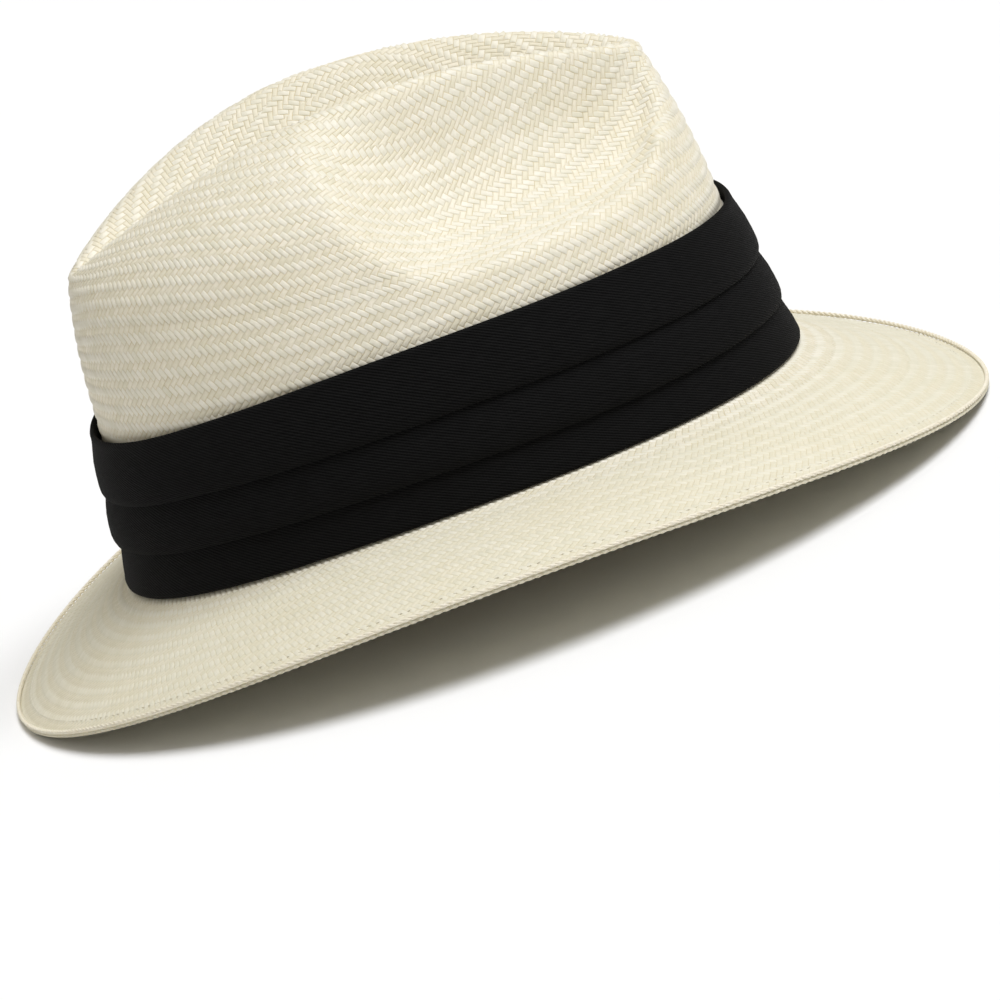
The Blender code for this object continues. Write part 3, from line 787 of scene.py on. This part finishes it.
def band_keeper(material):
    """Cloth loop over the band's join, tucked behind its top and bottom edges."""
    phi = np.linspace(math.radians(86.0), math.radians(96.5), 41)
    share = np.linspace(-1, 1, 41)
    knots = np.array(KEEPER_PATH)
    path = smooth_profile(np.repeat(knots[None], len(phi), axis=0), 3)
    on_face = np.clip((path[..., 1] - 2.4) / 1.6, 0, 1)
    path[..., 1] += 0.35 * on_face * (1 - share[:, None] ** 4)
    outline = strip_outline(path, 0.9)
    gather = 1.0 - 0.04 * np.cos(math.pi * (outline[..., 0] - 24.0) / 52.0)
    angle = phi.mean() + (phi - phi.mean())[:, None] * gather
    sections = wall_point(angle, outline[..., 0], BAND_INNER + outline[..., 1])
    piece = sweep("band_join_loop", sections, material, ("band_keeper",), closed=False)


# ---- inside -----------------------------------------------------------------------------------
TAPE_THICKNESS = 0.35
SWEATBAND_BACK = -(SKIN + TAPE_THICKNESS + CLEARANCE)
SWEATBAND_FRONT = SWEATBAND_BACK - SWEATBAND_THICKNESS
SWEATBAND_FOOT = 4.5
SEAM_STEPS = 340
SEAM_HEIGHTS = (9.0, 11.2)
BOW_HEIGHT = 20.0
BOW_RADIUS = 96.0         # of the sweatband at the back, where the bow sits
BOW_STEPS = 40


def sweatband(material, thread):
    """Leather strip with rounded edges, its ends a hair apart at the back, and its zigzag seam."""
    join = math.radians(0.25)
    phi = np.linspace(math.pi + join, 3 * math.pi - join, 260)
    back, front = SWEATBAND_BACK, SWEATBAND_FRONT
    foot, top = SWEATBAND_FOOT, SWEATBAND_FOOT + SWEATBAND_HEIGHT
    outline = [(foot, back), (12.0, back), (20.0, back), (28.0, back), (top - 0.2, back),
               (top, back - 0.5), (top - 0.2, front), (28.0, front), (20.0, front), (12.6, front),
               (12.0, front + 0.18), (11.4, front), (6.0, front), (foot, front)]
    heights, depths = np.array(outline).T
    depths = np.minimum(depths[None, :] + wave(phi, 40, 0.12)[:, None], back)
    sections = wall_point(phi[:, None], heights[None, :], depths)
    sweep("sweatband_leather", sections, material, ("sweatband",), closed=False)

    angle = np.linspace(0, 2 * math.pi, SEAM_STEPS, endpoint=False)
    height = np.where(np.arange(SEAM_STEPS) % 2 == 0, *SEAM_HEIGHTS)
    path = wall_point(angle, height, np.full(SEAM_STEPS, front - CLEARANCE - 0.05))
    sections = tube_sections(path, np.full(SEAM_STEPS, 0.22), True, 6)
    sweep("sweatband_stitches", sections, thread, ("sweatband_seam_thread",))


def sweatband_bow(material):
    """Small flat ribbon bow over the join: two open loops."""
    face = SWEATBAND_FRONT - CLEARANCE
    turn = np.linspace(0, 2 * math.pi, BOW_STEPS, endpoint=False)
    depth = face - 1.15 - 0.85 * np.sin(turn) * (1 - 0.25 * np.cos(turn))
    half = 2.2 + 1.4 * (1 - np.cos(turn)) / 2
    vertices, faces = [], []
    for number, direction in enumerate((-1, 1)):
        reach = direction * (7.2 - 6.6 * np.cos(turn))
        rows = []
        for share, inset in ((-1, 0.0), (1, 0.0), (1, 0.28), (-1, 0.28)):
            rows.append(wall_point(math.pi + reach / BOW_RADIUS, BOW_HEIGHT + share * half,
                                   depth + inset * np.sign(depth.mean() - depth)))
        vertices.append(np.stack(rows, axis=1).reshape(-1, 3))
        faces += (grid_faces(BOW_STEPS, 4, True, True) + number * 4 * BOW_STEPS).tolist()
    piece = make_object("bow_ribbon_loops", np.concatenate(vertices), faces, material,
                        ("bow_loops",))
    outward(piece)


# ---- build ------------------------------------------------------------------------------------
STRAW_LIGHT = (0.90, 0.863, 0.76)
# The tan below is painted shade in the weave's gaps and on the second family of straws, and also
# the colour of the straw's uneven patches.
STRAW_PAINTED_SHADE_AND_BLOTCH_TAN = (0.72, 0.585, 0.30)

straw = straw_material("woven_straw", STRAW_LIGHT, STRAW_PAINTED_SHADE_AND_BLOTCH_TAN, 1.0)
# The inside face is the same straw painted about 6 % darker: painted shade inside the hat.
straw_under = straw_material("woven_straw_inside", STRAW_LIGHT, STRAW_PAINTED_SHADE_AND_BLOTCH_TAN, 0.94)
rope = plain_material("straw_rope", (0.90, 0.86, 0.75), (0.80, 0.73, 0.56), 900.0, 0.6, 0.0001)
pale_thread = plain_material("pale_thread", (0.90, 0.87, 0.77), (0.80, 0.75, 0.62), 1500.0, 0.65,
                             0.00001)
black_thread = plain_material("black_thread", (0.03, 0.03, 0.032), (0.01, 0.01, 0.011), 1500.0,
                              0.65, 0.00001)
twill = cloth_material("black_twill", (0.0006, 0.0006, 0.0007), (0.0100, 0.0100, 0.0102), 0.81,
                       0.008, True)
buckram = plain_material("buckram", (0.07, 0.07, 0.07), (0.03, 0.03, 0.03), 1200.0, 0.85, 0.0002)
leather = leather_material("sweatband_leather", (0.60, 0.44, 0.28), (0.40, 0.27, 0.15))
reed = plain_material("welt_reed", (0.78, 0.74, 0.62), (0.64, 0.58, 0.45), 700.0, 0.4, 0.0001)
tape = plain_material("cotton_tape", (0.74, 0.70, 0.60), (0.56, 0.52, 0.42), 1800.0, 0.85, 0.0002)
ribbon = cloth_material("bow_ribbon", (0.01, 0.01, 0.011), (0.035, 0.035, 0.038), 0.5, 0.15, False)
card = plain_material("blank_tag", (0.84, 0.83, 0.78), (0.72, 0.70, 0.63), 1600.0, 0.85, 0.0001)

weave_sheet("straw_weave_outside", straw, STRAW_THICKNESS / 2 - 0.1, 1.0, WEAVE_RELIEF,
            ("straw_body",))
weave_sheet("straw_weave_inside", straw_under, 0.1 - STRAW_THICKNESS / 2, -1.0, WEAVE_RELIEF, ())
edge_plait(rope)
stitch_row(pale_thread)
pleated_band(twill)
band_keeper(twill)
sweatband(leather, pale_thread)
sweatband_bow(ribbon)

KEPT_NODES = {
    "band_backing": buckram,
    "band_tack_1": black_thread,
    "band_tack_2": black_thread,
    "band_tack_3": black_thread,
    "band_tack_4": black_thread,
    "sweatband_reed": reed,
    "reed_tape": tape,
    "bow_knot": ribbon,
    "size_tag": card,
}
for node, material in KEPT_NODES.items():
    kept = bpy.data.objects[node]
    if not kept.material_slots:
        kept.data.materials.append(material)
    for slot in kept.material_slots:
        slot.material = material

# ---- stage, light and camera ------------------------------------------------------------------
FLOOR_HALF = 6.0
WALL_FOOT, WALL_TOP = -0.5, 6.0
WALL_SIDES = 48
SKY_COLOUR, SKY_STRENGTH = (1.0, 0.95, 0.84, 1.0), 0.37
SUN_COLOUR, SUN_STRENGTH, SUN_WIDTH = (0.99, 1.0, 1.03), 2.55, math.radians(36)
SUN_DIRECTION = (0.34, -0.22, 0.92)


def stage_object(name, vertices, faces, material):
    """A piece of the studio, not part of the hat, already in metres."""
    mesh = bpy.data.meshes.new(name)
    mesh.from_pydata(vertices, [], faces)
    mesh.materials.append(material)
    piece = bpy.data.objects.new(name, mesh)
    bpy.context.scene.collection.objects.link(piece)
    return piece


paper = Graph("pale_floor").set(Base_Color=(0.95, 0.955, 0.965, 1.0), Roughness=0.9)
floor_corners = ((-1, -1), (1, -1), (1, 1), (-1, 1))
stage_object("floor", [(x * FLOOR_HALF, y * FLOOR_HALF, 0.0) for x, y in floor_corners],
             [(0, 1, 2, 3)], paper)

# A white wall far off closes the view behind the floor. It takes no part in the lighting.
white = Graph("white_backdrop")
glow = white.node("ShaderNodeEmission", {"Color": (1.0, 1.0, 1.0, 1.0), "Strength": 1.0})
white.tree.links.new(glow.outputs[0], white.tree.nodes["Material Output"].inputs["Surface"])
wall_angles = [2 * math.pi * n / WALL_SIDES for n in range(WALL_SIDES)]
wall = stage_object(
    "backdrop",
    [(FLOOR_HALF * math.cos(a), FLOOR_HALF * math.sin(a), height)
     for height in (WALL_FOOT, WALL_TOP) for a in wall_angles],
    grid_faces(2, WALL_SIDES, False, True).tolist(), white.material)
wall.visible_diffuse = False
wall.visible_glossy = False
wall.visible_transmission = False
wall.visible_shadow = False

world = bpy.data.worlds.new("studio")
bpy.context.scene.world = world
world.use_nodes = True
world.node_tree.nodes["Background"].inputs["Color"].default_value = SKY_COLOUR
world.node_tree.nodes["Background"].inputs["Strength"].default_value = SKY_STRENGTH
bpy.context.scene.view_settings.view_transform = "Standard"

key = bpy.data.lights.new("overhead", "SUN")
key.angle = SUN_WIDTH
key.energy = SUN_STRENGTH
key.color = SUN_COLOUR
lamp = bpy.data.objects.new("overhead", key)
bpy.context.scene.collection.objects.link(lamp)
lamp.rotation_euler = Vector(SUN_DIRECTION).to_track_quat("Z", "Y").to_euler()

TARGET = Vector((0.0, 0.0, RESTING_LIFT * MM))
AZIMUTH, ELEVATION, ROLL = math.radians(-2.11), math.radians(14.3), math.radians(19.42)
DISTANCE = 2.2
LENS = 266.4
CENTRE_SHIFT = (0.0273, -0.0466)

back = Vector((math.sin(AZIMUTH) * math.cos(ELEVATION),
               -math.cos(AZIMUTH) * math.cos(ELEVATION), math.sin(ELEVATION)))
right = Vector((math.cos(AZIMUTH), math.sin(AZIMUTH), 0.0))
up = back.cross(right)
rolled_right = right * math.cos(ROLL) - up * math.sin(ROLL)
rolled_up = right * math.sin(ROLL) + up * math.cos(ROLL)
lens = bpy.data.cameras.new("camera")
lens.sensor_width = 36.0
lens.lens = LENS
lens.shift_x, lens.shift_y = CENTRE_SHIFT
lens.clip_end = 50.0
camera = bpy.data.objects.new("camera", lens)
placed = Matrix((rolled_right, rolled_up, back)).transposed().to_4x4()
placed.translation = TARGET + back * DISTANCE
camera.matrix_world = placed
bpy.context.scene.collection.objects.link(camera)
bpy.context.scene.camera = camera

bpy.context.view_layer.update()
